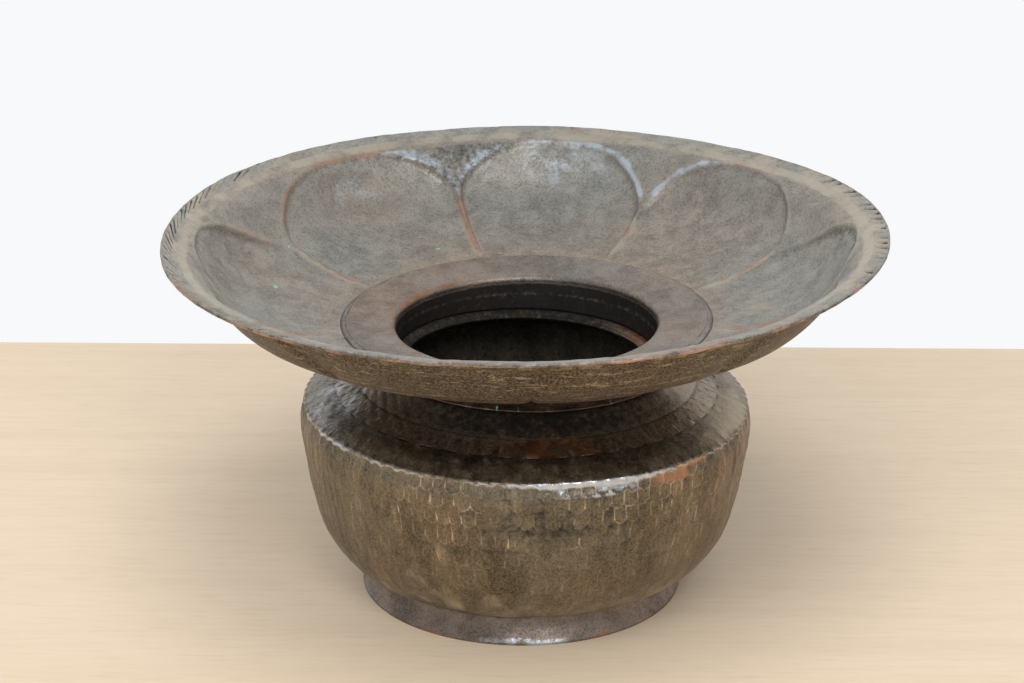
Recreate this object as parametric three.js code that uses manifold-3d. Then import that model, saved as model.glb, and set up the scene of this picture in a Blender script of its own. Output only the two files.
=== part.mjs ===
// A hand-raised tinned copper basin: a round hammered bowl on a flared foot ring, closed by a
// conical shoulder, with a short neck that carries a wide dish beaten into petals.
// Millimetres, +Z up. The origin is the centre of the ring that the foot stands on.

import * as THREE from 'three';
import { mergeVertices } from 'three/addons/utils/BufferGeometryUtils.js';
import Module from 'manifold-3d';

const wasm = await Module();
wasm.setup();

// Driving dimensions.
const RIM_RADIUS = 150;
const RIM_HEIGHT = 156;
const BELLY_RADIUS = 94.5;
const CREASE_HEIGHT = 84;
const FOOT_RADIUS = 67.8;
const FOOT_HEIGHT = 12.7;
const SHOULDER_TOP = 102;
const SHOULDER_HOLE_RADIUS = 50.3;
const MOUTH_RADIUS = 54.7;
const FLANGE_RADIUS = 75.8;
const FLANGE_TOP = 119.7;

// Sheet thicknesses, and the clearance that brazed pieces keep between their solids.
const BOWL_SHEET = 1.5;
const DISH_SHEET = 1.4;
const NECK_SHEET = 1.2;
const FOOT_SHEET = 1.6;
const JOINT_GAP = 0.3;

// The seam between bowl and shoulder is cut into square cramps that interlock.
const CRAMP_PAIRS = 45;
const CRAMP_OUTER_RADIUS = 80;
const CRAMP_INNER_RADIUS = 72;

// The ridges between the nine petals, as degrees turned from +Y towards +X. They were laid out
// by eye, so their spacing varies.
const RIDGE_ANGLES = [26, 66, 103, 141, 179, 218, 256, 301, 346];
const PETAL_DEPTH = 1.2;
const PETAL_START = FLANGE_RADIUS + 2;
const PETAL_END = 138;

const STEPS_PER_PETAL = 6;
const SEGMENTS = RIDGE_ANGLES.length * STEPS_PER_PETAL;

const point = (radius, height) => new THREE.Vector2(radius, height);

// A smooth outline through a few points.
function curveThrough(points, steps) {
  return new THREE.SplineCurve(points).getPoints(steps);
}

// The outline moved sideways by a distance, to the left of its direction of travel.
function offsetOutline(outline, distance) {
  return outline.map((here, index) => {
    const before = outline[Math.max(index - 1, 0)];
    const after = outline[Math.min(index + 1, outline.length - 1)];
    const along = after.clone().sub(before).normalize();
    return point(here.x - along.y * distance, here.y + along.x * distance);
  });
}

// A sheet-metal section: the outline on one face, its offset on the other, closed at both ends.
function sheetSection(outline, thickness) {
  const inner = offsetOutline(outline, thickness).reverse();
  return [...outline, ...inner, outline[0].clone()];
}

// Turns a section about +Z. The section runs anticlockwise as seen with radius to the right.
function turned(section) {
  const geometry = new THREE.LatheGeometry(section, SEGMENTS);
  geometry.rotateX(Math.PI / 2);
  return geometry;
}

// A ring of filler metal with a three-cornered section.
function fillet(cornerA, cornerB, cornerC) {
  return turned([cornerA, cornerB, cornerC, cornerA.clone()]);
}

function toSolid(geometry) {
  const bare = geometry.clone();
  bare.deleteAttribute('normal');
  bare.deleteAttribute('uv');
  const welded = mergeVertices(bare, 1e-4);
  return new wasm.Manifold(new wasm.Mesh({
    numProp: 3,
    vertProperties: new Float32Array(welded.attributes.position.array),
    triVerts: new Uint32Array(welded.index.array),
  }));
}

function toGeometry(solid) {
  const mesh = solid.getMesh();
  const geometry = new THREE.BufferGeometry();
  geometry.setAttribute('position', new THREE.BufferAttribute(mesh.vertProperties, 3));
  geometry.setIndex(new THREE.BufferAttribute(mesh.triVerts, 1));
  geometry.computeVertexNormals();
  return geometry;
}

// Cuts every second sector between two radii out of a turned sheet, which leaves its cramps.
function cutCramps(sheet, firstSector, innerRadius, outerRadius) {
  const sectorAngle = Math.PI / CRAMP_PAIRS;
  let solid = sheet;
  for (let pair = 0; pair < CRAMP_PAIRS; pair += 1) {
    const middle = (2 * pair + firstSector + 0.5) * sectorAngle;
    const halfWidth = (CRAMP_OUTER_RADIUS * sectorAngle + JOINT_GAP) / 2;
    const notch = new THREE.BoxGeometry(outerRadius - innerRadius, 2 * halfWidth, 20);
    notch.translate((innerRadius + outerRadius) / 2, 0, 90);
    notch.rotateZ(middle);
    solid = solid.subtract(toSolid(notch));
  }
  return solid;
}

// The foot: a flared band standing on a narrow flat edge.
function footRing() {
  const outside = curveThrough([
    point(FOOT_RADIUS, 0),
    point(65.6, 4),
    point(63.8, 8.5),
    point(63.1, FOOT_HEIGHT),
  ], 5);
  const section = sheetSection(outside, FOOT_SHEET);
  const innerFootEdge = section[section.length - 2];
  innerFootEdge.y = 0;
  return turned(section);
}

// Filler metal in the corner inside the foot, under the bowl.
function footBraze() {
  const height = FOOT_HEIGHT - 0.4;
  return fillet(point(58.4, height - 0.6), point(60.9, height - 2.8), point(61.1, height));
}

// The bowl: one raised sheet, closed below, turned in at the crease as far as the cramps.
function lowerBowl() {
  const underside = curveThrough([
    point(0, 9.5),
    point(50, 10.6),
    point(63, 13.3),
    point(76.2, 17.9),
  ], 5);
  const wall = curveThrough([
    point(76.2, 17.9),
    point(85.6, 30.9),
    point(91, 50.6),
    point(BELLY_RADIUS - 0.3, 70),
    point(BELLY_RADIUS, 78),
  ], 6).slice(1);
  const crease = curveThrough([
    point(BELLY_RADIUS, 78),
    point(BELLY_RADIUS - 0.8, CREASE_HEIGHT - 1.8),
    point(BELLY_RADIUS - 3, CREASE_HEIGHT + 0.1),
  ], 3).slice(1);
  const border = [
    point(CRAMP_OUTER_RADIUS, 89),
    point(CRAMP_INNER_RADIUS - 2, 94),
  ];
  const outside = [...underside, ...wall, ...crease, ...border];
  const section = sheetSection(outside, BOWL_SHEET);
  section.pop();
  section[section.length - 1].x = 0;
  const opening = new THREE.CylinderGeometry(
    CRAMP_INNER_RADIUS + JOINT_GAP / 2,
    CRAMP_INNER_RADIUS + JOINT_GAP / 2,
    20,
    SEGMENTS,
  );
  opening.rotateX(Math.PI / 2);
  opening.translate(0, 0, 95);
  const sheet = toSolid(turned(section)).subtract(toSolid(opening));
  const notchStart = CRAMP_INNER_RADIUS - 1;
  return toGeometry(cutCramps(sheet, 1, notchStart, CRAMP_OUTER_RADIUS + JOINT_GAP / 2));
}

// The shoulder: a cone from the cramps up to the neck, its upper edge turned in as a ledge.
function shoulder() {
  const cone = [
    point(CRAMP_OUTER_RADIUS - JOINT_GAP / 2, 89),
    point(CRAMP_INNER_RADIUS, 93),
  ];
  const ledge = curveThrough([
    point(CRAMP_INNER_RADIUS, 93),
    point(66, 97.2),
    point(61.4, SHOULDER_TOP - 1.1),
    point(58, SHOULDER_TOP),
    point(53.5, SHOULDER_TOP - 0.4),
    point(SHOULDER_HOLE_RADIUS + 0.5, SHOULDER_TOP - 1.7),
  ], 7).slice(1);
  const sheet = toSolid(turned(sheetSection([...cone, ...ledge], BOWL_SHEET)));
  const notchStart = CRAMP_INNER_RADIUS - JOINT_GAP / 2;
  return toGeometry(cutCramps(sheet, 0, notchStart, CRAMP_OUTER_RADIUS + 1));
}

// A flat strip of brass filler under the cramps, inside the vessel.
function seamBraze() {
  const below = BOWL_SHEET + JOINT_GAP;
  const start = point(CRAMP_OUTER_RADIUS - 1, 89.5);
  const end = point(CRAMP_INNER_RADIUS + 1, 92.5);
  const upper = offsetOutline([start, end], below);
  return turned(sheetSection(upper, 0.6));
}

// The collar that holds the dish up: a short tapering band, flared out where it meets the shoulder.
function neckCollar() {
  const outside = curveThrough([
    point(63, SHOULDER_TOP - 0.4),
    point(61.2, SHOULDER_TOP + 1.9),
    point(59.6, 108.5),
    point(59.1, 114.4),
  ], 5);
  return turned(sheetSection(outside, NECK_SHEET));
}

// Filler metal between the mouth tube and the collar, on the shoulder's ledge.
function neckBaseBraze() {
  const height = SHOULDER_TOP + 0.5;
  return fillet(point(56.4, height), point(58.8, height), point(56.4, height + 2.6));
}

// Filler metal in the corner between the collar and the underside of the dish.
function neckTopBraze() {
  return fillet(point(59.7, 112.2), point(62.1, 114.6), point(59.7, 114.4));
}

// How far the beaten petals sink the dish at a place: nothing on the ridges, most between them.
function petalSink(radius, acrossPetal) {
  const along = (radius - PETAL_START) / (PETAL_END - PETAL_START);
  if (along <= 0 || along >= 1) return 0;
  return PETAL_DEPTH * Math.sin(Math.PI * along) * (1 - acrossPetal * acrossPetal);
}

// The dish: one raised sheet with a hole for the mouth tube, nine petals and a thin lip.
function petalDish() {
  const seatSlope = 0.105;
  const flangeSeat = FLANGE_TOP - NECK_SHEET - JOINT_GAP;
  const holeRadius = 57.6;
  const seat = [
    point(holeRadius, flangeSeat - seatSlope * (FLANGE_RADIUS - holeRadius)),
    point(FLANGE_RADIUS + 1.5, flangeSeat),
  ];
  const wall = curveThrough([
    point(FLANGE_RADIUS + 1.5, flangeSeat),
    point(100, 122.3),
    point(120, 131.5),
    point(130, 141.6),
    point(PETAL_END, 152),
  ], 6).slice(1);
  const lip = [
    point(143, RIM_HEIGHT - 1.6),
    point(RIM_RADIUS - 0.6, RIM_HEIGHT),
  ];
  const topside = [...seat, ...wall, ...lip].reverse();
  const section = sheetSection(topside, DISH_SHEET);
  const geometry = turned(section);
  const position = geometry.attributes.position;
  for (let index = 0; index < position.count; index += 1) {
    const radius = Math.hypot(position.getX(index), position.getY(index));
    const angle = Math.atan2(position.getX(index), position.getY(index));
    const step = (angle / (2 * Math.PI)) * SEGMENTS;
    const petal = Math.floor((step + 0.01) / STEPS_PER_PETAL);
    const acrossPetal = (2 * (step - petal * STEPS_PER_PETAL)) / STEPS_PER_PETAL - 1;
    const count = RIDGE_ANGLES.length;
    const startAngle = RIDGE_ANGLES[(petal + count) % count];
    const endAngle = RIDGE_ANGLES[(petal + 1 + count) % count];
    const width = (endAngle - startAngle + 360) % 360;
    const laidAngle = THREE.MathUtils.degToRad(startAngle + (width * (acrossPetal + 1)) / 2);
    position.setX(index, radius * Math.sin(laidAngle));
    position.setY(index, radius * Math.cos(laidAngle));
    position.setZ(index, position.getZ(index) - petalSink(radius, acrossPetal));
  }
  return geometry;
}

// The mouth: a flat ring lying on the dish, rounded over into a tube down to the shoulder's ledge.
function mouthRing() {
  const bendRadius = 2.6;
  const bendCentre = point(MOUTH_RADIUS + bendRadius, 115.2);
  const flange = [point(FLANGE_RADIUS, FLANGE_TOP)];
  const bend = [];
  const bendSteps = 4;
  for (let step = 0; step <= bendSteps; step += 1) {
    const turn = Math.PI / 2 + (Math.PI / 2) * (step / bendSteps);
    bend.push(point(
      bendCentre.x + bendRadius * Math.cos(turn),
      bendCentre.y + bendRadius * Math.sin(turn),
    ));
  }
  const tube = [point(MOUTH_RADIUS, SHOULDER_TOP + JOINT_GAP + 0.1)];
  return turned(sheetSection([...flange, ...bend, ...tube], NECK_SHEET));
}

// Solder run round the outer step of the flat ring.
function flangeSolder() {
  const foot = FLANGE_TOP - NECK_SHEET + 0.1;
  const inner = FLANGE_RADIUS + JOINT_GAP;
  return fillet(point(inner, foot), point(inner + 1.3, foot + 0.1), point(inner, foot + 0.9));
}

function metal(color, roughness) {
  return new THREE.MeshStandardMaterial({ color, roughness, metalness: 1 });
}

const agedTin = metal(0x6f6459, 0.5);
const wornTin = metal(0x5f564c, 0.48);
const darkCopper = metal(0x4a3a30, 0.45);
const redCopper = metal(0x7a4a34, 0.45);
const brassFiller = metal(0xa8864a, 0.5);
const tinSolder = metal(0x8d8b88, 0.4);

const pieces = [
  ['foot_ring', footRing, wornTin],
  ['foot_braze', footBraze, brassFiller],
  ['lower_bowl', lowerBowl, wornTin],
  ['shoulder', shoulder, darkCopper],
  ['seam_braze', seamBraze, brassFiller],
  ['neck_collar', neckCollar, redCopper],
  ['neck_base_braze', neckBaseBraze, brassFiller],
  ['neck_top_braze', neckTopBraze, brassFiller],
  ['petal_dish', petalDish, agedTin],
  ['mouth_ring', mouthRing, wornTin],
  ['flange_solder', flangeSolder, tinSolder],
];

const group = new THREE.Group();
for (const [name, makeGeometry, material] of pieces) {
  const mesh = new THREE.Mesh(makeGeometry(), material);
  mesh.name = name;
  group.add(mesh);
}

export default group;
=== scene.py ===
"""Tinned copper basin with a petalled dish, beaten by hand.

Metres in Blender, millimetres in the outlines. Directions are degrees turned from +Y, which is
the back, towards +X, which is the right; 180 is the front."""

import math

import bpy
import numpy as np
from mathutils import Matrix, Vector


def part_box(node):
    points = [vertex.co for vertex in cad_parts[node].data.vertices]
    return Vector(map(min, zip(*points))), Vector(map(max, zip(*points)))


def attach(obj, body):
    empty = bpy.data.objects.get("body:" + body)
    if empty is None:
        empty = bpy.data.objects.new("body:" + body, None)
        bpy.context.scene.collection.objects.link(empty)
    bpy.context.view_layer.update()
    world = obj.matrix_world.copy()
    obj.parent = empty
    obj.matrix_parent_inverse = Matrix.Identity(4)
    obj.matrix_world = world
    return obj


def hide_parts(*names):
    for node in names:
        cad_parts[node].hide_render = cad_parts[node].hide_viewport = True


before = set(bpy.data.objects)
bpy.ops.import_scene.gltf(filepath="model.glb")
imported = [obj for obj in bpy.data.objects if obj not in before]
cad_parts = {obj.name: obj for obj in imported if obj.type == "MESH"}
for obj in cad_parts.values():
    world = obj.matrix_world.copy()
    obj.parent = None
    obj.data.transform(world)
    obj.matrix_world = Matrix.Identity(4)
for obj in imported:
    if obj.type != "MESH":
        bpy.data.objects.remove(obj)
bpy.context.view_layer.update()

MM = 0.001


def node_radius(node):
    """Largest radius of a CAD node, in millimetres."""
    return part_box(node)[1].x / MM


def node_top(node):
    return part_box(node)[1].z / MM


# Driving sizes, taken from the CAD nodes.
RIM_RADIUS = node_radius("petal_dish") + 0.2
BELLY_RADIUS = node_radius("lower_bowl")
FOOT_RADIUS = node_radius("foot_ring")
FOOT_HEIGHT = node_top("foot_ring")
SHOULDER_TOP = node_top("shoulder")
FLANGE_RADIUS = node_radius("mouth_ring")
FLANGE_TOP = node_top("mouth_ring")
COLLAR_TOP = node_top("neck_collar")

# The mouth: the tube's inner and outer radius and the round bend at its top.
MOUTH_BORE = 54.7
TUBE_RADIUS = 55.9
MOUTH_BEND = 2.4

# The cramped seam between bowl and shoulder.
BOWL_SHEET = 1.5
CRAMP_PAIRS = 45
CRAMP_PITCH = 360.0 / CRAMP_PAIRS
CRAMP_OUTER = 80.0
CRAMP_INNER = 72.0
CRAMP_GAP = 0.025

# The nine petals: their ridges' directions and the radius where each ridge parts.
RIDGES = (26, 66, 103, 141, 179, 218, 256, 301, 346)
PETAL_SPLITS = (113, 114, 116, 118, 118, 117, 115, 115, 120.5)
PETAL_DEPTH = 1.35
PETAL_TIP = 138.5
PETAL_WIDTH = 42.0
PETAL_LENGTH = 27.0

# How round a petal is, and the straighter flank of the two at the sides.
PETAL_ROUNDNESS = 2.0
STRAIGHT_FLANKS = {1: -1, 6: 1}
FLANK_ROUNDNESS = 1.2

# The smooth band outside the petals and the chased border at the lip.
BAND_INNER = 138.0
BORDER_INNER = 143.0
BORDER_START = 143.3
BORDER_END = 149.4
BORDER_CUTS = 150
STROKED_SIDE = (268, 54)
WEDGED_SIDE = (88, 30)

# How the hand-made pieces lean and sit off centre.
BODY_SHIFT = 1.5
BODY_LEAN = -0.010
MOUTH_SHIFT = 1.5
DISH_LEAN = 0.0195

# The rim isn't flat: pairs of a direction and the millimetres it rises or dips there.
RIM_RISE = (
    (0, 0.4), (20, -0.6), (38, -1.3), (55, -0.1), (75, 0.9), (112, 1.1), (145, 0.4), (180, 0.0),
    (215, -0.2), (250, -0.5), (275, 1.0), (298, 2.2), (328, 1.8), (344, 0.3), (360, 0.4),
)


# ---------------------------------------------------------------- numbers


def lattice_value(ix, iy=0, iz=0, seed=0):
    """A repeatable value from -1 to 1 for whole-number places."""
    mixed = (ix * 374761393 + iy * 668265263 + iz * 974634777 + seed * 362437) & 0xFFFFFFFF
    mixed = ((mixed ^ (mixed >> 13)) * 1274126177) & 0xFFFFFFFF
    return ((mixed ^ (mixed >> 16)) & 0xFFFF) / 32767.5 - 1


def noise(places, size, seed):
    """Smooth noise from -1 to 1 at a grid of places, with lumps of about size millimetres."""
    scaled = places / size
    cell = np.floor(scaled).astype(np.int64)
    part = scaled - cell
    part = part * part * (3 - 2 * part)
    total = np.zeros(scaled.shape[:-1])
    for corner in np.ndindex(2, 2, 2):
        weight = np.prod(np.where(corner, part, 1 - part), axis=-1)
        total += weight * lattice_value(*np.moveaxis(cell + corner, -1, 0), seed)
    return total


def smooth(value, low, high):
    part = np.clip((np.asarray(value, float) - low) / (high - low), 0, 1)
    return part * part * (3 - 2 * part)


def bump_at(value, middle, width):
    """1 at the middle, fading over the width on both sides."""
    return np.exp(-(((np.asarray(value, float) - middle) / width) ** 2))


def angle_gap(angle, middle):
    """Degrees between two directions, from -180 to 180."""
    return (np.asarray(angle, float) - middle + 180) % 360 - 180


def sector(angle, middle, width):
    return bump_at(angle_gap(angle, middle), 0, width)


def travelled(points):
    """The distance gone along a line of points, at each of them."""
    return np.concatenate([[0], np.cumsum(np.hypot(*np.diff(points, axis=0).T))])


def curve(points, count):
    """A smooth line through a few (radius, height) points, evenly spaced along its length."""
    points = np.asarray(points, float)
    along = travelled(points)
    steps = np.hypot(*np.diff(points, axis=0).T)
    slopes = np.gradient(points, along, axis=0)
    fine = np.linspace(0, along[-1], max(count * 6, 60))
    index = np.clip(np.searchsorted(along, fine) - 1, 0, len(steps) - 1)
    length = steps[index][:, None]
    p = ((fine - along[index]) / steps[index])[:, None]
    line = (
        (1 + 2 * p) * (1 - p) ** 2 * points[index]
        + p * (1 - p) ** 2 * length * slopes[index]
        + p * p * (3 - 2 * p) * points[index + 1]
        + p * p * (p - 1) * length * slopes[index + 1]
    )
    gone = travelled(line)
    even = np.linspace(0, gone[-1], count)
    return np.stack([np.interp(even, gone, line[:, 0]), np.interp(even, gone, line[:, 1])], axis=1)


def arc(centre, radius, start, end, count):
    """Points on a circle in the section plane; angles in degrees from the outward direction."""
    turn = np.radians(np.linspace(start, end, count))
    return np.stack([centre[0] + radius * np.cos(turn), centre[1] + radius * np.sin(turn)], axis=1)


def normals(outline):
    """Unit normals to the right of the outline's travel."""
    along = np.gradient(outline, axis=0)
    along /= np.hypot(along[:, 0], along[:, 1])[:, None]
    return np.stack([along[:, 1], -along[:, 0]], axis=1)


def joined(*outlines):
    """Outlines joined end to end, without the doubled points."""
    parts = [outlines[0]] + [line[1:] for line in outlines[1:]]
    return np.concatenate(parts)


# ---------------------------------------------------------------- meshes


def even_angles(count):
    return np.arange(count) * 360.0 / count


def place(radius, angle, height):
    turn = np.radians(angle)
    return np.stack([radius * np.sin(turn), radius * np.cos(turn), height], axis=-1)


def circle(radius, angles):
    """Points on a level circle, one for each angle."""
    return place(np.full(len(angles), radius), angles, np.zeros(len(angles)))


def turn_of(grid):
    """The direction of each place, in degrees."""
    return np.degrees(np.arctan2(grid[..., 0], grid[..., 1]))


def lean(points):
    """Slant and offset left by the maker's hand, the same for every piece at one place."""
    x, y, z = points.T
    radius = np.hypot(x, y)
    neck = smooth(z, SHOULDER_TOP - 1, COLLAR_TOP)
    body = smooth(z, FOOT_HEIGHT - 3, FOOT_HEIGHT + 6) * (1 - neck)
    spread = 1 - smooth(radius, FLANGE_RADIUS, RIM_RADIUS)
    tilt = BODY_LEAN * body * smooth(z, FOOT_HEIGHT, 84) + DISH_LEAN * neck
    shift = BODY_SHIFT * body + MOUTH_SHIFT * neck * (0.33 + 0.67 * spread)
    return np.stack([x + shift, y, z + tilt * x], axis=1)


class Shell:
    """A turned mesh built ring by ring. Rings run along the section, anticlockwise as seen with
    radius to the right, so that faces look outwards."""

    def __init__(self):
        self.points = []
        self.faces = []
        self.blocks = []
        self.rings = []
        self.crisp = set()
        self.total = 0

    def add(self, grid, crisp=False, **values):
        """Adds a block of rings, joined to the ring before; a crisp join is shaded flat."""
        rows, columns = grid.shape[:2]
        first = self.total
        self.points.append(grid.reshape(-1, 3))
        self.blocks.append((values, (rows, columns)))
        here = np.arange(columns)
        after = (here + 1) % columns
        for low in range(first, first + (rows - 1) * columns, columns):
            high = low + columns
            self.faces.append(np.stack([low + here, high + here, high + after, low + after], axis=1))
        lowest = (first, turn_of(grid[0]))
        if self.rings:
            self.join(self.rings[-1], lowest)
            if crisp:
                self.crisp.add(len(self.faces) - 1)
        self.rings += [lowest, (first + (rows - 1) * columns, turn_of(grid[-1]))]
        self.total += rows * columns

    def join(self, lower, upper):
        """Fills between two rings of any columns by stepping along whichever lags in direction."""
        (low, low_turn), (high, high_turn) = lower, upper
        start = int(np.argmin(np.abs(angle_gap(high_turn, low_turn[0]))))
        high_turn = np.roll(high_turn, -start)
        low_gone = np.cumsum(angle_gap(np.roll(low_turn, -1), low_turn))
        high_gone = np.cumsum(angle_gap(np.roll(high_turn, -1), high_turn))
        high_gone += angle_gap(high_turn[0], low_turn[0])
        on_low = np.argsort(np.concatenate([low_gone, high_gone]), kind="stable") < len(low_turn)
        a = np.cumsum(on_low)
        b = np.cumsum(~on_low)
        low_from, low_to = (low + step % len(low_turn) for step in (a - on_low, a))
        high_from, high_to = (high + (start + step) % len(high_turn) for step in (b - ~on_low, b))
        self.faces.append(np.stack([low_from, high_from, np.where(on_low, low_to, high_to)], axis=1))

    def close(self):
        """Joins the last ring to the first, for a section that is closed on itself."""
        self.join(self.rings[-1], self.rings[0])

    def cap(self, ring, height, first_end):
        """Closes a ring with a point on the axis."""
        start, count = ring[0], len(ring[1])
        self.points.append(np.array([[0.0, 0.0, height]]))
        self.blocks.append(({}, (1, 1)))
        here = start + np.arange(count)
        after = start + (np.arange(count) + 1) % count
        pole = np.full(count, self.total)
        order = [pole, here, after] if first_end else [here, pole, after]
        self.faces.append(np.stack(order, axis=1))
        self.total += 1

    def build(self, name, material, node, slot):
        points = lean(np.concatenate(self.points)) * MM
        mesh = bpy.data.meshes.new(name)
        faces = [face for block in self.faces for face in block.tolist()]
        mesh.from_pydata(points.tolist(), [], faces)
        flags = [np.full(len(block), index not in self.crisp) for index, block in enumerate(self.faces)]
        mesh.polygons.foreach_set("use_smooth", np.concatenate(flags))
        for label in sorted({key for values, _ in self.blocks for key in values}):
            parts = [np.broadcast_to(values.get(label, 0), size).reshape(-1) for values, size in self.blocks]
            layer = mesh.attributes.new(label, "FLOAT", "POINT")
            layer.data.foreach_set("value", np.clip(np.concatenate(parts), 0, 1).astype(np.float32))
        mesh.update(calc_edges=True)
        mesh.validate()
        mesh.materials.append(material)
        piece = bpy.data.objects.new(name, mesh)
        bpy.context.scene.collection.objects.link(piece)
        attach(piece, "root")
        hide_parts(node)
        return piece


def turned_grid(outline, angles, push=None):
    """An outline turned about +Z, rows by columns by 3; push moves it along the normal."""
    side = normals(outline)
    radius = np.repeat(outline[:, :1], len(angles), axis=1)
    height = np.repeat(outline[:, 1:], len(angles), axis=1)
    if push is not None:
        radius = radius + side[:, :1] * push
        height = height + side[:, 1:] * push
    return place(radius, np.broadcast_to(angles, radius.shape), height)


class Places:
    """A grid of places, and what is asked of each."""

    def __init__(self, grid):
        self.grid = grid
        self.turn = turn_of(grid)
        self.radius = np.hypot(grid[..., 0], grid[..., 1])

    def toward(self, middle, width):
        """1 in a direction, fading over a width to both sides."""
        return sector(self.turn, middle, width)

    def past(self, low, high):
        """From 0 at one radius to 1 at another."""
        return smooth(self.radius, low, high)

    def lumps(self, size, seed):
        return noise(self.grid, size, seed)

    def patches(self, size, seed, low, high):
        """Noise as patches: 0 below the low value, 1 above the high one."""
        return smooth(self.lumps(size, seed), low, high)


class Face(Places):
    """A section turned about +Z."""

    def __init__(self, section, angles):
        self.section = section
        self.angles = angles
        self.grid = turned_grid(section, angles)
        rows_columns = self.grid.shape[:2]
        self.turn = np.broadcast_to(angles, rows_columns)
        self.radius = np.broadcast_to(section[:, :1], rows_columns)
        self.height = np.broadcast_to(section[:, 1:], rows_columns)

    def above(self, low, high):
        """From 0 at one height to 1 at another."""
        return smooth(self.height, low, high)

    def first(self, count):
        """True on the section's first points, false on the rest."""
        return (np.arange(len(self.section)) < count)[:, None]

    def pushed(self, push):
        return turned_grid(self.section, self.angles, push)

    def build_ring(self, name, material, node, slot, push=None, **values):
        """Builds the piece whose whole outline is this section."""
        ring = Shell()
        ring.add(self.pushed(push), **values)
        ring.close()
        return ring.build(name, material, node, slot)


def blow_cells(turn, course, counts, around, seed):
    """For places in known courses: the place across the blow, from -1 to 1, its half width in
    millimetres, and the number of the blow in its course."""
    count = counts[course]
    phase = (lattice_value(course, seed=seed) + 1) / 2
    t = turn / 360 * count + phase + 0.2 * noise(around + 50 * course[:, None], 9, seed + 1)
    cell = np.floor(t).astype(np.int64)
    half = math.pi * BELLY_RADIUS / count
    return 2 * (t - cell) - 1, half, cell % count


def blows(angles, along, borders, counts, seed):
    """Hammer blows laid in courses, each with a rounded lower edge that overlaps the next course.
    Gives each place's position in its blow, across and down from -1 to 1, two random values of
    the blow, and its distances from the blow's sides and ends, which change sign from one blow
    to the next so that they run smoothly through nothing at the borders."""
    shape = (len(along), len(angles))
    turn = np.broadcast_to(angles, shape).reshape(-1)
    down = np.repeat(along, len(angles))
    around = place(np.full(len(down), BELLY_RADIUS), turn, down)
    down = down + 0.9 * noise(around, 15, seed)
    sag = 1.9
    course = np.clip(np.searchsorted(borders, down) - 1, 0, len(counts) - 2)
    u, half, cell = blow_cells(turn, course, counts, around, seed)
    cut = down > borders[course + 1] - sag * u * u
    course = np.where(cut, course + 1, course)
    u, half, cell = blow_cells(turn, course, counts, around, seed)
    above = np.maximum(course - 1, 0)
    upper_u, _, _ = blow_cells(turn, above, counts, around, seed)
    below_upper = down - (borders[course] - sag * upper_u * upper_u)
    above_lower = borders[course + 1] - sag * u * u - down
    ends = np.clip(np.minimum(below_upper, above_lower), 0, 1.5)
    sides = np.clip((1 - np.abs(u)) * half, 0, 1.5)
    v = np.clip(2 * below_upper / np.maximum(below_upper + above_lower, 0.5) - 1, -1, 1)
    first = lattice_value(cell, course, seed=seed + 2)
    second = lattice_value(cell, course, seed=seed + 3)
    ends = np.where(course % 2 == 0, ends, -ends)
    sides = np.where(cell % 2 == 0, sides, -sides)
    return [value.reshape(shape) for value in (u, v, first, second, sides, ends)]


# ---------------------------------------------------------------- materials


class Value:
    """An output in a node tree that can be added, subtracted and multiplied."""

    def __init__(self, graph, node, which=0):
        self.graph = graph
        self.socket = node.outputs[which]

    def __add__(self, other):
        return self.graph.math("ADD", self, other)

    def __sub__(self, other):
        return self.graph.math("SUBTRACT", self, other)

    def __rsub__(self, other):
        return self.graph.math("SUBTRACT", other, self)

    def __mul__(self, other):
        return self.graph.math("MULTIPLY", self, other)


class Graph:
    """Short names for building a node tree, fed with Values, numbers and colours."""

    def __init__(self, tree):
        self.tree = tree
        self.coords = self.node("TexCoord")
        self.place = Value(self, self.coords, "Object")

    def node(self, kind, *values, **settings):
        """A new node with its settings, its first inputs fed in order."""
        node = self.tree.nodes.new("ShaderNode" + kind)
        for name, setting in settings.items():
            setattr(node, name, setting)
        for socket, value in zip(node.inputs, values):
            self.feed(socket, value)
        return node

    def feed(self, socket, value):
        if isinstance(value, Value):
            self.tree.links.new(value.socket, socket)
        elif socket.type == "RGBA":
            socket.default_value = (*value, 1)
        else:
            socket.default_value = value

    def feed_named(self, node, **values):
        for name, value in values.items():
            self.feed(node.inputs[name.replace("_", " ")], value)
        return node

    def math(self, operation, a, b=0.0, clamp=False):
        return Value(self, self.node("Math", a, b, operation=operation, use_clamp=clamp))

    def ease(self, value, low, high, to_low=0.0, to_high=1.0):
        values = (value, low, high, to_low, to_high)
        return Value(self, self.node("MapRange", *values, interpolation_type="SMOOTHSTEP"))

    def mix(self, factor, a, b, blend="MIX"):
        node = self.node("Mix", factor, data_type="RGBA", blend_type=blend)
        self.feed(node.inputs[6], a)
        self.feed(node.inputs[7], b)
        return Value(self, node, 2)

    def stretch(self, x, y, z):
        return Value(self, self.node("VectorMath", self.place, (x, y, z), operation="MULTIPLY"))

    def split(self, vector):
        node = self.node("SeparateXYZ", vector)
        return [Value(self, node, axis) for axis in range(3)]

    def combine(self, x, y, z):
        return Value(self, self.node("CombineXYZ", x, y, z))

    def noise(self, vector, scale, detail=3.0, rough=0.55, twist=0.0):
        node = self.node("TexNoise")
        self.feed_named(node, Vector=vector, Scale=scale, Detail=detail, Roughness=rough, Distortion=twist)
        return Value(self, node, "Fac")

    def stored(self, name):
        """A value stored with the mesh."""
        return Value(self, self.node("Attribute", attribute_name=name), "Fac")

    def ragged(self, name, pattern, low, high):
        """A value stored with the mesh, its edges broken up by a pattern."""
        return self.ease(self.stored(name) + (pattern - 0.5), low, high)

    def bump(self, height, distance, **more):
        node = self.node("Bump")
        return Value(self, self.feed_named(node, Strength=1.0, Distance=distance, Height=height, **more))


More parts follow.
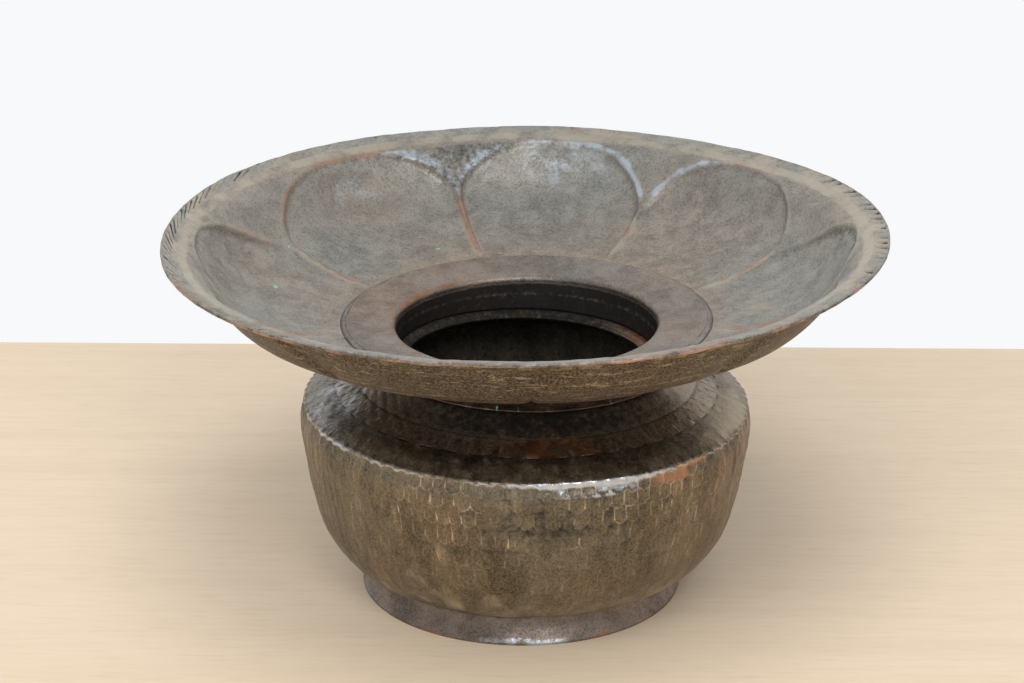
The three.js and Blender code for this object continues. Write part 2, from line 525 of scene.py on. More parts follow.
def new_material(name):
    """A material with one shader, the graph to feed it with, and that shader."""
    material = bpy.data.materials.new(name)
    material.use_nodes = True
    material.node_tree.nodes.clear()
    g = Graph(material.node_tree)
    shader = g.node("BsdfPrincipled")
    g.node("OutputMaterial", Value(g, shader))
    return material, g, shader


def streak_places(g, kind):
    """Texture places that draw marks out along one direction of a turned piece."""
    if kind == "down":
        return g.stretch(1, 1, 0.09)
    x, y, z = g.split(g.place)
    radius = g.math("SQRT", x * x + y * y)
    if kind == "around":
        return g.combine(x * 0.22, y * 0.22, radius + z * 1.3)
    off_axis = g.math("MAXIMUM", radius, 0.01)
    unit_x, unit_y = (g.math("DIVIDE", part, off_axis) for part in (x, y))
    return g.combine(unit_x * 0.1, unit_y * 0.1, radius * 0.12)


# Colours and tints that every metal shares.
WARM_TINT = (1.22, 0.86, 0.66)
UNDERSIDE_TINT = (0.212, 0.153, 0.099)
SCRAPED = (0.4, 0.32, 0.2)
PITTED = (0.02, 0.017, 0.014)
BLOW_BORDER = (0.68, 0.57, 0.45)
# The colour of grime and of painted shade.
SOOT_AND_SHADE = (0.012, 0.011, 0.0105)
VERDIGRIS_GREEN = (0.12, 0.42, 0.34)

# Depth of the bump, in metres.
FINE_RELIEF = 0.00028
COARSE_RELIEF = 0.0006


def aged_metal(
    name,
    dark,
    mid,
    pale,
    rough=0.45,
    streaks="down",
    streak_mix=0.5,
    copper=(0.5, 0.25, 0.14),
    tin=(0.6, 0.645, 0.7),
    dust=(0.46, 0.4, 0.31),
    mottle_scale=70,
    matte=0.0,
):
    """Old tin over copper. The mesh's own values say where it is worn to copper, where the tin is
    still bright and where highlights are painted, where it is pale and dusty, where grime lies and
    where shade is painted, and where verdigris sits."""
    material, g, shader = new_material(name)
    drawn = g.stretch(1, 1, 0.4) if streaks == "down" else g.place
    mottle = g.noise(drawn, mottle_scale, 6, 0.68, 0.3)
    broad = g.noise(g.place, 19, 3, 0.5, 0.6)
    grain = g.noise(g.place, 1100, 2, 0.6)
    specks = g.noise(g.place, 330, 4, 0.72)
    lines = g.noise(streak_places(g, streaks), 480, 5, 0.7)
    around = g.noise(streak_places(g, "around"), 230, 5, 0.7, 1.2)

    colour = g.mix(g.ease(mottle, 0.34, 0.66), dark, mid)
    colour = g.mix(g.ease(broad, 0.4, 0.72, 0, 0.5), colour, mid)
    flecks = g.ease(lines, 0.5, 0.72) * g.ease(mottle, 0.4, 0.62)
    colour = g.mix(flecks * streak_mix, colour, pale)
    colour = g.mix(g.stored("tone"), colour, g.mix(1.0, colour, WARM_TINT, "MULTIPLY"))
    colour = g.mix(g.ease(specks, 0.56, 0.74, 0, 0.5), colour, dark)
    under = g.stored("under")
    colour = g.mix(under, colour, g.mix(1.0, colour, UNDERSIDE_TINT, "MULTIPLY"))
    scrapes = g.ease(around, 0.52, 0.63) * g.ease(specks, 0.4, 0.56) * under
    colour = g.mix(scrapes * 0.85, colour, SCRAPED)
    colour = g.mix(g.ease(grain, 0.35, 0.72, 0.0, 0.24), colour, pale)
    colour = g.mix(g.ease(grain, 0.28, 0.5, 0.28, 0), colour, PITTED)

    side_gap, end_gap = (g.math("ABSOLUTE", g.stored(key) - 0.5) for key in ("sides", "ends"))
    frayed = (specks - 0.5) * 0.34
    side_line = g.ease(side_gap + frayed, 0.04, 0.14, 1, 0)
    end_line = g.ease(end_gap + frayed, 0.03, 0.11, 0.55, 0)
    border = g.math("MULTIPLY", g.math("MAXIMUM", side_line, end_line), g.stored("marks"), True)
    border = border * g.ease(mottle, 0.38, 0.56, 0.25, 1)
    colour = g.mix(border * 0.95, colour, BLOW_BORDER)

    # Dust, and painted highlights: the pale line along the bowl's crease and the shoulder's paler right side.
    dust_and_highlight_mask = g.ragged("dust", g.noise(drawn, 210, 5, 0.75), 0.25, 0.9)
    colour = g.mix(dust_and_highlight_mask * 0.85, colour, dust)
    copper_tone = g.mix(g.noise(g.place, 260, 3), copper, tuple(0.5 * part for part in copper))
    colour = g.mix(g.ragged("wear", g.noise(g.place, 420, 4, 0.7), 0.3, 0.8), colour, copper_tone)
    # Bright tin, and painted highlights on the bowl's crease, low on the foot's front, on the dish's back and
    # on the shoulder's left side.
    bright = g.ragged("tin", g.noise(g.place, 560, 4, 0.8), 0.25, 0.85)
    colour = g.mix(bright, colour, tin)
    # Grime, and painted shade: on the shoulder under the dish, in the petals' steps, at the top of the foot
    # and inside the mouth.
    dirt_and_shade = g.ragged("grime", specks, 0.25, 0.95)
    colour = g.mix(dirt_and_shade * 0.965, colour, SOOT_AND_SHADE)
    green = g.ragged("verdigris", specks, 0.4, 0.6)

    roughness = specks * 0.28 + (rough - 0.13) + flecks * 0.1 - bright * 0.12
    relief = specks * 0.6 + lines * 0.4 + grain * 0.25 + around * under * 0.9
    relief = relief - dirt_and_shade * 0.2 + border * 0.35
    g.feed_named(
        shader,
        Base_Color=g.mix(green, colour, VERDIGRIS_GREEN),
        Metallic=(1.0 - green) * ((1.0 - dirt_and_shade * 0.5) * (1.0 - dust_and_highlight_mask * matte)),
        Specular_IOR_Level=g.ease(dirt_and_shade, 0, 1, 0.5, 0.12),
        Roughness=g.math("ADD", roughness, dirt_and_shade * 0.2, True),
        Normal=g.bump(mottle, COARSE_RELIEF, Normal=g.bump(relief, FINE_RELIEF)),
    )
    return material


# ---------------------------------------------------------------- bowl


# Courses of hammer blows: where each begins, down from the crease, and how many blows go round.
COURSES = np.array([-30, 0.4, 5.8, 12, 19.5, 29, 39, 50, 62, 74, 110.0])
BLOW_COUNTS = np.array([70, 98, 104, 106, 102, 100, 94, 86, 70, 60])
BLOW_SEED = 11
BOWL_COLUMNS = 840


def bowl_outside():
    """The bowl's outer face from floor to cramps, and each row's distance from the crease:
    positive down the wall, negative on the turned-in border."""
    wall = curve(
        [(63, 13.2), (70.5, 15.0), (76.2, 17.9), (80.9, 23.2), (85.6, 30.9), (88.7, 40.8),
         (91, 50.6), (92.5, 60.5), (94.1, 70), (BELLY_RADIUS, 76.5), (93.5, 80.4)],
        84,
    )
    crease = arc((91.8, 82.1), 1.6, -18, 74, 6)
    border = curve([crease[-1], (86.6, 86.7), (CRAMP_OUTER + 0.2, 89)], 10)
    outside = joined(wall, crease, border)
    gone = travelled(outside)
    return Face(outside, even_angles(BOWL_COLUMNS)), (gone[len(wall) + 1] - gone)[:, None]


def crease_beads(angles):
    """1 at the middle of each blow along the crease, 0 between them."""
    first_course = np.ones(len(angles), int)
    across, _, _ = blow_cells(angles, first_course, BLOW_COUNTS, circle(BELLY_RADIUS, angles), BLOW_SEED)
    return 1 - across**2


def turned_in(along):
    """1 on the border that is turned in over the crease, 0 on the wall."""
    return smooth(along, 0.6, -1.6)


def bowl_grid(face, along, beads, u, v, first, second):
    """The outer face with its blows, its dents and the beaten crease."""
    deep = 0.3 + 0.7 * smooth(along, 64, 26)
    on_top = turned_in(along)
    hollow = (1 - u * u) * (1 - 0.8 * v**4)
    depth = (0.32 + 0.1 * first) * deep * (1 - 0.85 * on_top)
    tipped = 0.16 * second * u + 0.08 * first * v
    push = -depth * hollow + (1 - on_top) * tipped * deep + 0.25 * face.lumps(24, 5) + 0.3
    push = push + bump_at(along, 0.2, 2.4) * (0.2 * face.lumps(7, 7) + 0.15 - 0.42 * beads)
    push = push - 0.7 * face.toward(162, 14) * bump_at(along, 1.2, 1.8)
    grid = face.pushed(push * smooth(along, -14.5, -10))
    grid[..., 2] += cone_relief(grid) * smooth(along, -2, -6)
    return grid


def bowl_marks(face, along, v, second):
    """Brightness of the blows' borders: most in front, in the upper courses."""
    toward, lumps = face.toward, face.lumps
    wall = 1 - turned_in(along)
    picked = smooth(lumps(22, 21) + 1.1 * lumps(7, 22), -0.3, 0.6) * smooth(along, 54, 14) * wall
    front = 0.45 + 0.65 * toward(176, 55)
    # The borders are stronger towards each blow's lower edge: a painted highlight there.
    marks = picked * front * (0.9 + 0.5 * second) * (0.1 + 0.9 * smooth(v, -0.6, 0.5))
    scales = 0.85 * toward(160, 13) * smooth(along, 24, 16) * wall
    marks = np.maximum(marks, scales * face.patches(6, 18, -0.7, 0.2))
    return np.maximum(marks, toward(141, 9) * wall * smooth(along, 9, 6))


def bowl_values(face, along, beads, v, second):
    """The outer face's wear, dirt and brightness, with painted highlights along the crease and painted shade
    at the top of each blow.
    """
    toward, lumps = face.toward, face.lumps
    on_top = turned_in(along)
    wall = 1 - on_top
    crease = bump_at(along, 0.0, 1.1)
    in_first = smooth(along, 6.6, 5.2)
    orange = toward(140, 8.5) * smooth(along, -0.6, 0.2) * smooth(v, 1.0, 0.9)
    wear = crease * (0.22 + 0.35 * lumps(6, 23)) + orange * in_first * (0.8 + 0.2 * second)
    # Painted highlights: along the crease, strongest at the front right, as a scalloped pale line, and on the
    # first course of blows at the front right.
    glint = 1.6 * toward(164, 15) + 0.35 * toward(236, 24) + 0.14
    scalloped = bump_at(along + 0.7 * beads, 0.7, 0.5) * face.patches(9, 29, -0.8, 0.1)
    bevel = in_first * toward(162, 12) * wall
    tin = crease * glint * (0.8 + 0.5 * lumps(5, 25)) + 0.45 * scalloped
    tin += 0.95 * bevel * smooth(second, -0.7, 0.4) * smooth(v, 0.9, 0.2)
    dusky = bump_at(along, 18, 15) * toward(176, 36)
    # Darker at random blows and in a slate patch in front, with painted shade at the top of each blow.
    dull_and_shade = smooth(along, 64, 26) * (0.12 + 0.14 * second + 0.15 * smooth(v, 0.2, -0.9)) + 0.32 * dusky
    blotch = smooth(lumps(7, 26) + 0.6 * lumps(19, 28) + 0.5 * second, -0.4, 0.9)
    dust = wall * blotch * smooth(along, 8, 36) * (0.22 + 0.22 * toward(204, 26))
    dust += (0.34 + 0.25 * lumps(9, 19)) * smooth(along, 46, 70)
    # A pale line along the crease, painted as its highlight.
    dust += 0.5 * crease * (0.7 + lumps(5, 27))
    cone = cone_values(face)
    return {
        "wear": wear + on_top * cone["wear"],
        "tin": tin + on_top * cone["tin"] * (1 - crease),
        "grime": on_top * cone["grime"] * (1 - crease) + wall * dull_and_shade,
        "tone": 0.5 * smooth(angle_gap(face.turn, 180), -20, -70) + 0.08 + 0.25 * lumps(30, 24),
        "dust": dust + on_top * cone["dust"] * (1 - crease),
        "marks": bowl_marks(face, along, v, second),
    }


def lower_bowl(material):
    """The raised bowl: planished in courses outside, plain inside, its border cut into cramps."""
    face, along = bowl_outside()
    angles = face.angles
    beads = crease_beads(angles)
    u, v, first, second, sides, ends = blows(angles, along[:, 0], COURSES, BLOW_COUNTS, BLOW_SEED)
    base = curve([(2, 9.6), (30, 10.0), (50, 10.7), (63, 13.2)], 14)
    inside = curve(
        [(CRAMP_INNER + 1, 90.4), (80, 87.2), (90.8, 82.6), (92.6, 79), (92.2, 66), (89.2, 50),
         (84, 32), (75, 19.6), (62, 14.9), (48, 12.2), (2, 11.2)],
        46,
    )
    inner = Face(inside, angles[::5])
    outer_grid = bowl_grid(face, along, beads, u, v, first, second)
    values = bowl_values(face, along, beads, v, second)
    bowl = Shell()
    bowl.add(turned_grid(base, angles[::5])[:-1], grime=0.5)
    bowl.add(outer_grid, sides=0.5 + sides / 3, ends=0.5 + ends / 3, **values)
    add_cramp_edge(bowl)
    bowl.add(inner.pushed(0.15 * inner.lumps(14, 31)), grime=0.62)
    bowl.cap(bowl.rings[0], base[0, 1], True)
    bowl.cap(bowl.rings[-1], inside[-1, 1], False)
    return bowl.build("lower_bowl_sheet", material, "lower_bowl", "bowl_copper")


def cramp_columns():
    """Column angles, close together at each flank of a cramp."""
    parts = [0.0, 0.006, 0.018, 0.03, 0.14, 0.26, 0.38, 0.49, 0.504, 0.518, 0.532, 0.65, 0.76, 0.88, 0.98]
    return (np.arange(CRAMP_PAIRS)[:, None] * CRAMP_PITCH + np.array(parts) * CRAMP_PITCH).reshape(-1)


def cramp_line(angles, gap):
    """Radius of the zigzag seam for each column: square teeth with steep flanks."""
    part = (angles % CRAMP_PITCH) / CRAMP_PITCH
    tooth = smooth(part, 0.005, 0.03) * smooth(part, 0.53, 0.505)
    return CRAMP_INNER + (CRAMP_OUTER - CRAMP_INNER) * tooth + gap


def cramp_underside(angles, edge):
    """The lower edge of the sheet along the zigzag."""
    return place(edge[None, :], angles[None, :], seam_height(edge)[None, :] - BOWL_SHEET)


def seam_height(radius):
    """Height of the outer face where bowl and shoulder interlock."""
    return 89 + (CRAMP_OUTER - radius) * 0.5


def edge_wear(outer, inner):
    """Wear beside the zigzag, by the distance from it."""
    return 0.2 * smooth(outer - inner, 0.5, 0.0)


def cone_relief(grid):
    """Slanting flutes and dents on the cone between crease and neck, in millimetres."""
    cone = Places(grid)
    twist = cone.turn + (cone.radius - 70) * 1.5
    wave = np.sin(np.radians(twist * 26) + 1.6 * cone.lumps(18, 51))
    fluted = cone.toward(262, 45) + 0.6 * cone.toward(100, 40) + 0.25
    return 0.2 * fluted * np.abs(wave) + 0.1 * cone.lumps(6, 52) + 0.16 * cone.lumps(20, 53)


def cone_values(cone):
    """The cone's wear, dirt and brightness: paler at the far sides, a painted reflection, and dark in front,
    painted shade under the dish.
    """
    toward, past, lumps = cone.toward, cone.past, cone.lumps
    # Painted reflection of the bright wall behind: the far sides are made paler.
    left, right = toward(258, 26), toward(104, 22)
    red = cone.patches(15, 54, 0.1, 0.6) * toward(178, 38) * past(88, 76)
    cramps = past(CRAMP_INNER - 1.5, CRAMP_INNER) * past(CRAMP_OUTER + 1.5, CRAMP_OUTER)
    cramps = cramps * (toward(177, 6) + 0.35 * toward(163, 6))
    # Painted shade under the dish: darker away from the sides, most towards the neck in front.
    grime = 0.42 - 0.42 * (left + 0.9 * right) - 0.35 * cramps
    grime = grime - 0.28 * toward(188, 36) * past(79, 84)
    grime += past(76, 68) * (0.15 + 0.3 * toward(180, 55))
    flecks = smooth(lumps(4, 57) + 0.6 * lumps(12, 58), 0.1, 0.9)
    dust = (0.4 + 0.25 * flecks) * toward(185, 60) * past(72, 84)
    wear = 0.42 * red + 0.85 * cramps * (0.8 + 0.5 * lumps(5, 55))
    return {
        "dust": 0.85 * toward(104, 20) + dust,
        "wear": wear + 0.2 * toward(104, 20),
        "tin": (0.58 * left + 0.15 * right) * (0.9 + 0.5 * lumps(9, 56)),
        "grime": np.clip(grime, 0, 1) * past(55, 60),
        "tone": np.clip(0.35 + 0.5 * red + 0.35 * toward(120, 30), 0, 1),
    }


def add_cramp_edge(shell):
    """The bowl's border with its cramps, down to the underside of the zigzag."""
    angles = cramp_columns()
    edge = cramp_line(angles, CRAMP_GAP)
    part = np.append(np.linspace(0.04, 0.985, 7), 1)[:, None]
    radius = (CRAMP_OUTER + 0.15) * (1 - part) + edge * part
    grid = place(radius, np.broadcast_to(angles, radius.shape), seam_height(radius))
    values = cone_values(Places(grid))
    values["wear"] = values["wear"] + edge_wear(radius, edge) * sector(angles, 171, 11)
    grid[..., 2] += cone_relief(grid)
    shell.add(grid, **values)
    shell.add(cramp_underside(angles, edge), crisp=True, grime=0.8)


# ---------------------------------------------------------------- shoulder


def shoulder(material):
    """The cone above the seam, planished in slanting flutes, its top turned in as a ledge."""
    angles = cramp_columns()
    edge = cramp_line(angles, -CRAMP_GAP)
    part = np.insert(np.linspace(0, 1, 9), 1, 0.015)[:, None]
    radius = edge * (1 - part) + (CRAMP_INNER - 0.3) * part
    seam = place(radius, np.broadcast_to(angles, radius.shape), seam_height(radius))
    cone = curve(
        [(CRAMP_INNER - 0.5, 93.1), (66, 97.2), (61.4, 100.9), (58, 102), (53.5, 101.7), (51.2, 100.6)], 40
    )
    grid = np.concatenate([seam, turned_grid(cone, angles)])
    at = Places(grid)
    on_cone = at.past(60, 64)
    right = at.toward(68, 22)
    values = cone_values(at)
    values["wear"] = values["wear"] * on_cone + at.past(58, 56) * (0.05 + 0.6 * right)
    values["wear"] += edge_wear(edge, at.radius) * at.toward(171, 11)
    values["dust"] = values["dust"] * on_cone
    # Painted shade on the top under the collar and mouth, less at the right.
    values["grime"] = values["grime"] * on_cone + (1 - on_cone) * (0.88 - 0.6 * right)
    grid[..., 2] += on_cone * cone_relief(grid) + (1 - on_cone) * 0.12 * at.lumps(20, 53)
    sheet = Shell()
    sheet.add(grid, **values)
    lip = arc((51.2, 99.85), 0.75, 100, 280, 6)
    under = curve(
        [(51.3, 99.1), (53.5, 100.1), (58, 100.5), (60.6, 99.5), (65, 95.8), (CRAMP_INNER - 0.8, 91.7)], 12
    )
    rest = Face(joined(lip, under), even_angles(360))
    lip_wear = rest.first(len(lip)) * 0.6 * rest.toward(68, 22)
    # Painted shade on the lip, seen inside the mouth, and on the underside.
    sheet.add(rest.grid, grime=0.9 - lip_wear, wear=lip_wear)
    sheet.add(cramp_underside(angles, edge), grime=0.7)
    sheet.close()
    sheet.crisp.add(len(sheet.faces) - 1)
    return sheet.build("shoulder_sheet", material, "shoulder", "shoulder_copper")


def seam_braze(material):
    """Brass that ran up between the cramps from a strip inside the vessel."""
    top = curve([(CRAMP_OUTER - 0.8, 88.6), (CRAMP_INNER + 0.8, 92.0)], 6)
    low = curve([(CRAMP_INNER + 0.8, 90.2), (CRAMP_OUTER - 0.8, 86.8)], 6)
    strip = Face(np.concatenate([top, low]), even_angles(360))
    return strip.build_ring("seam_filler", material, "seam_braze", "brass_filler", grime=0.75)


# ---------------------------------------------------------------- foot and filler


def foot_ring(material):
    """The flared band of the foot, dented, its standing edge worn to copper."""
    outside = curve([(FOOT_RADIUS, 0.9), (65.9, 4), (64, 8.5), (63.2, FOOT_HEIGHT)], 26)
    edge = arc((FOOT_RADIUS - 0.9, 0.9), 0.9, -90, 0, 5)
    inner = curve([(61.7, FOOT_HEIGHT), (62.4, 8.3), (64.3, 3.6), (66.2, 0.15)], 12)
    face = Face(np.concatenate([edge, outside[1:], inner]), even_angles(540))
    toward, above, lumps = face.toward, face.above, face.lumps
    free = above(0.2, 2.5) * above(FOOT_HEIGHT, FOOT_HEIGHT - 3)
    out = face.first(len(edge) + len(outside))
    wear = above(1.9, 0.4) * (0.5 + 0.5 * lumps(12, 63))
    wear = wear + 0.5 * toward(150, 7) * above(5, 1.5) + 0.15 * toward(125, 25)
    # Painted highlight low on the front of the outer face.
    glint = toward(179, 19) * above(4.6, 1.6)
    values = {
        "wear": out * wear,
        "tin": out * glint * (0.55 * face.patches(4, 64, -0.7, 0.3) + 0.34),
        "tone": 0.25 + 0.3 * lumps(18, 65) + 0.2 * smooth(angle_gap(face.turn, 180), 0, -60),
        # Painted shade under the bowl along the top of the outer face.
        "grime": out * above(FOOT_HEIGHT - 4, FOOT_HEIGHT - 0.5) * 0.8 + (1 - out) * 0.6,
    }
    push = free * (0.35 * lumps(22, 61) + 0.14 * lumps(7, 62))
    return face.build_ring("foot_band", material, "foot_ring", "foot_copper", push, **values)


def bead(name, material, node, slot, corners, columns, seed, rough=0.25, **values):
    """A run of filler metal with a rounded, uneven section."""
    corners = np.asarray(corners, float)
    middle = corners.mean(axis=0)
    section = []
    for here, after in zip(corners, np.roll(corners, -1, axis=0)):
        section += [here * 0.8 + middle * 0.2, (here + after) / 2 * 1.08 - middle * 0.08]
    face = Face(np.array(section), even_angles(columns))
    full = {}
    for key, value in values.items():
        full[key] = (value(face.turn) if callable(value) else value) + 0.3 * face.lumps(5, seed + 1)
    return face.build_ring(name, material, node, slot, rough * face.lumps(3.5, seed), **full)


# ---------------------------------------------------------------- neck


def neck_collar(material):
    """The short dark band under the dish, paler where its lower edge flares."""
    outside = curve([(63, 101.7), (62.4, 102.4), (61.2, 103.9), (59.8, 108.5), (59.2, COLLAR_TOP)], 22)
    inner = curve([(58, COLLAR_TOP), (58.5, 108.2), (59.9, 103.3), (61.6, 101.5)], 10)
    face = Face(np.concatenate([outside, inner]), even_angles(360))
    toward, lumps = face.toward, face.lumps
    low = face.above(105, 102.6)
    values = {
        "wear": 0.1 * low * (0.6 + lumps(10, 72)) + 0.12,
        "dust": 0.5 * low * (0.7 + 0.4 * lumps(8, 74)),
        "grime": 0.8 - 0.6 * low + 0.2 * lumps(14, 73),
        "verdigris": 0.6 * low * (toward(191, 0.8) + toward(183, 0.7) + toward(147, 0.8)),
        "tone": 0.6,
    }
    return face.build_ring("neck_band", material, "neck_collar", "neck_copper", 0.12 * lumps(9, 71), **values)


def mouth_section():
    """The mouth ring's outline, from the tube's outside to its bore, and how many points are hidden."""
    bend_at = FLANGE_TOP - 2 - MOUTH_BEND
    tube = curve([(MOUTH_BORE, SHOULDER_TOP + 0.4), (MOUTH_BORE - 0.1, 108), (MOUTH_BORE, bend_at)], 16)
    corner = arc((MOUTH_BORE + MOUTH_BEND, bend_at), MOUTH_BEND, 180, 96, 9)
    flat = curve([corner[-1], (62, FLANGE_TOP - 1.6), (70, FLANGE_TOP - 0.7), (75.1, FLANGE_TOP)], 24)
    step = arc((75.1, FLANGE_TOP - 0.6), 0.6, 85, -70, 5)
    back = curve([(75.2, FLANGE_TOP - 1.3), (64, FLANGE_TOP - 2.6), (57.3, FLANGE_TOP - 3.4)], 8)
    outer = curve([(56.1, FLANGE_TOP - 5), (TUBE_RADIUS, 110), (TUBE_RADIUS, SHOULDER_TOP + 0.4)], 8)
    return np.concatenate([tube, corner[1:], flat[1:], step, back, outer])[::-1], len(outer) + len(back)


def mouth_ring(material):
    """The flat ring on the dish, rounded over into the tube of the mouth."""
    section, hidden = mouth_section()
    face = Face(section, even_angles(540))
    toward, past, above, lumps = face.toward, face.past, face.above, face.lumps
    top = above(112, 115.5) * (1 - face.first(hidden))
    push = 0.16 * lumps(13, 81) + 0.07 * lumps(5, 82)
    push = push + top * 0.25 * past(73, 75.5) * lumps(6, 83)
    at_mouth = bump_at(face.radius, 56.2, 1.5) * above(113, 116)
    rim_side = 0.85 * toward(285, 45) + 0.25 * toward(75, 45) + 0.02
    wear = at_mouth * rim_side * (0.85 + 0.5 * lumps(9, 84))
    flecks = past(74, 75.3) * toward(330, 45) * face.patches(4, 86, 0.2, 0.6)
    # Painted shade in the bore: dark all down it, with a lighter band lower down.
    inside = above(116, 112) * (face.radius < MOUTH_BORE + 1.0)
    values = {
        "wear": wear + 0.2 * top * face.patches(11, 85, 0.1, 0.8),
        "tin": at_mouth * 0.22 * toward(0, 38) + 0.5 * flecks,
        "grime": 1.6 * inside - 0.8 * bump_at(face.height, 109.5, 1.6) * inside,
        "tone": 0.25 + 0.25 * toward(290, 60) + 0.2 * lumps(20, 87),
    }
    return face.build_ring("mouth_flange", material, "mouth_ring", "mouth_copper", push, **values)


# ---------------------------------------------------------------- dish


def petal_columns(per_petal):
    """Column angles for the dish, each column's place across its petal, from -1 to 1, the radius
    where the ridge beside it parts and how round the petal is there. Columns lie closer together
    at the ridges, and the two petals at the sides of the dish have one straighter flank."""
    steps = np.linspace(-1, 1, per_petal, endpoint=False)
    across = np.sign(steps) * (1 - (1 - np.abs(steps)) ** 1.25)
    angles, places, splits, rounds = [], [], [], []
    for index, start in enumerate(RIDGES):
        after = (index + 1) % len(RIDGES)
        width = (RIDGES[after] - start) % 360
        part = (across + 1) / 2
        angles.append(start + width * part)
        places.append(across)
        splits.append(PETAL_SPLITS[index] * (1 - part) + PETAL_SPLITS[after] * part)
        flank = smooth(across * STRAIGHT_FLANKS.get(index, 0), 0, 0.1) * smooth(np.abs(across), 1, 0.9)
        rounds.append(PETAL_ROUNDNESS + (FLANK_ROUNDNESS - PETAL_ROUNDNESS) * flank)
    return tuple(np.concatenate(part) for part in (angles, places, splits, rounds))


def petal_depth(radius, across, split, rounded):
    """Millimetres inside (+) or outside (-) the nearest petal's outline."""
    q = np.maximum((radius - split) / (PETAL_TIP - split), 0)
    p = np.abs(across)
    reach = np.maximum((p**rounded + q**rounded) ** (1 / rounded), 1e-3)
    width = PETAL_WIDTH * np.minimum(radius, split) / split
    steep = rounded - 1
    slope = np.hypot((p / reach) ** steep / width, (q / reach) ** steep / PETAL_LENGTH)
    return (1 - reach) / np.maximum(slope, 1e-6)


class PetalFace(Face):
    """A face of the dish, with how far each place lies inside (+) or outside (-) its petal."""

    def __init__(self, section, per_petal):
        angles, self.across, self.split, rounded = petal_columns(per_petal)
        super().__init__(section, angles)
        self.inside = petal_depth(self.radius, self.across, self.split, rounded)
        self.sunk = smooth(self.inside, -0.4, 2.6)

    def relief(self):
        """How far the beaten petals sink the face and how far their outlines rise."""
        past = self.past
        started = past(FLANGE_RADIUS + 4, 126)
        ended = past(BAND_INNER + 1.5, BAND_INNER - 1)
        belly = 0.55 * (1 - self.across**2) * past(80, 105) * past(138, 122)
        line = bump_at(self.inside, 0, 0.9) * past(FLANGE_RADIUS, FLANGE_RADIUS + 5) * ended
        return 0.45 * line - (PETAL_DEPTH * self.sunk * started + belly) * ended

    def lifted(self, push):
        """The face pushed along its normals, with the rises and dips of the lip."""
        grid = self.pushed(push)
        grid[..., 2] += lip_wobble(self.angles) * self.past(WOBBLE_INNER, RIM_RADIUS)
        return grid


# The dish's upper face, from the mouth to the lip, and its lower one back again.
DISH_TOPSIDE = [
    (57.2, 116.1), (76, 118.2), (88, 120.0), (100, 122.9), (110, 127.0), (119.6, 132.2), (125.2, 137.4),
    (130.1, 143.4), (134.8, 149.7), (138.0, 152.4), (143.1, 154.6), (149.2, 156.1),
]
DISH_UNDERSIDE = [
    (148.6, 154.2), (143.2, 153.2), (138.5, 151.1), (135.6, 148.8), (130.9, 142.6), (126.0, 136.5),
    (120.3, 131.1), (110.4, 125.8), (100.4, 121.7), (88, 118.7), (76, 116.8), (57.4, 114.6),
]

# The radius outside which the dish follows its uneven lip.
WOBBLE_INNER = 118


def lip_wobble(angles):
    """Small rises and dips of the lip, as beaten: sharper along the front."""
    ring = circle(RIM_RADIUS, angles)
    front = 0.35 + 0.65 * sector(angles, 185, 45)
    stops, rises = zip(*RIM_RISE)
    bent = np.interp(np.asarray(angles) % 360, stops, rises)
    beaten = 0.2 * noise(ring, 42, 91) + front * (0.3 * noise(ring, 9, 92) + 0.2 * noise(ring, 4, 93))
    return bent + beaten


def copper_spots(turn):
    """Two short runs of clean copper where the dish meets the collar."""
    return 1.1 * sector(turn, 174.5, 2.6) + 1.1 * sector(turn, 152, 3) - 0.05


# Specks of verdigris on the dish: direction, radius and size.
VERDIGRIS = (
    (283, 108, 2.2), (12, 95, 1.8), (118, 96, 1.6), (72, 110, 1.4), (335, 92, 1.5), (236, 99, 1.6),
    (300, 118, 1.3),
)


def verdigris_spots(face):
    total = np.zeros(face.turn.shape)
    for angle, radius, size in VERDIGRIS:
        aside = np.radians(angle_gap(face.turn, angle)) * face.radius
        total += np.exp(-((aside / size) ** 2) - ((face.radius - radius) / (size * 0.7)) ** 2)
    return 0.7 * total


def dish_tin_and_highlights(face, wide, ridge, spandrel):
    """Where the tin is still bright and where highlights are painted: at the back, on the petals' tips and
    between them.
    """
    toward, past, lumps, inside = face.toward, face.past, face.lumps, face.inside
    to_band = past(139, 137)
    broken = smooth(lumps(4, 116) + 0.6 * lumps(11, 112), -0.7, 0.5)
    tip = past(face.split - 2, face.split + 2) * past(140, 138.6)
    # Painted highlights, only partly bright tin: on the petals' tips and outline slopes at the back, in
    # streaks, on the spandrels and on the back petals' upper ends.
    rim_of_petal = bump_at(inside, -0.4, 1.1) * tip * toward(8, 36)
    tin = 0.66 * rim_of_petal * (0.6 + 0.4 * broken) + 0.25 * wide * ridge * toward(48, 30)
    ragged = inside + 1.1 * lumps(2.5, 109)
    right_streak = bump_at(ragged, -1.0, 1.3) * toward(35, 9) * past(118, 121)
    left_streak = bump_at(ragged, -2.4, 1.5) * toward(338, 9) * past(119, 123)
    tin += 0.8 * right_streak * (0.4 + 0.6 * broken) + 0.7 * left_streak * to_band
    slope = bump_at(inside, -0.9, 1.1) * past(118, 123) * to_band * (1 - 0.8 * ridge)
    tin += slope * (0.2 * toward(300, 60) + 0.3 * toward(50, 40)) * broken
    tin += spandrel * toward(4, 34) * (0.2 + 0.3 * past(127, 135) * broken)
    patch = toward(8, 16) + 0.85 * toward(325, 17) + 0.3 * toward(48, 14)
    patch = face.sunk * patch * past(119, 127)
    tin += patch * (0.27 + 0.28 * face.patches(4.5, 113, -0.4, 0.7))
    return tin + 0.1 * past(138.6, 139.6) * (0.8 + 0.6 * lumps(9, 114))


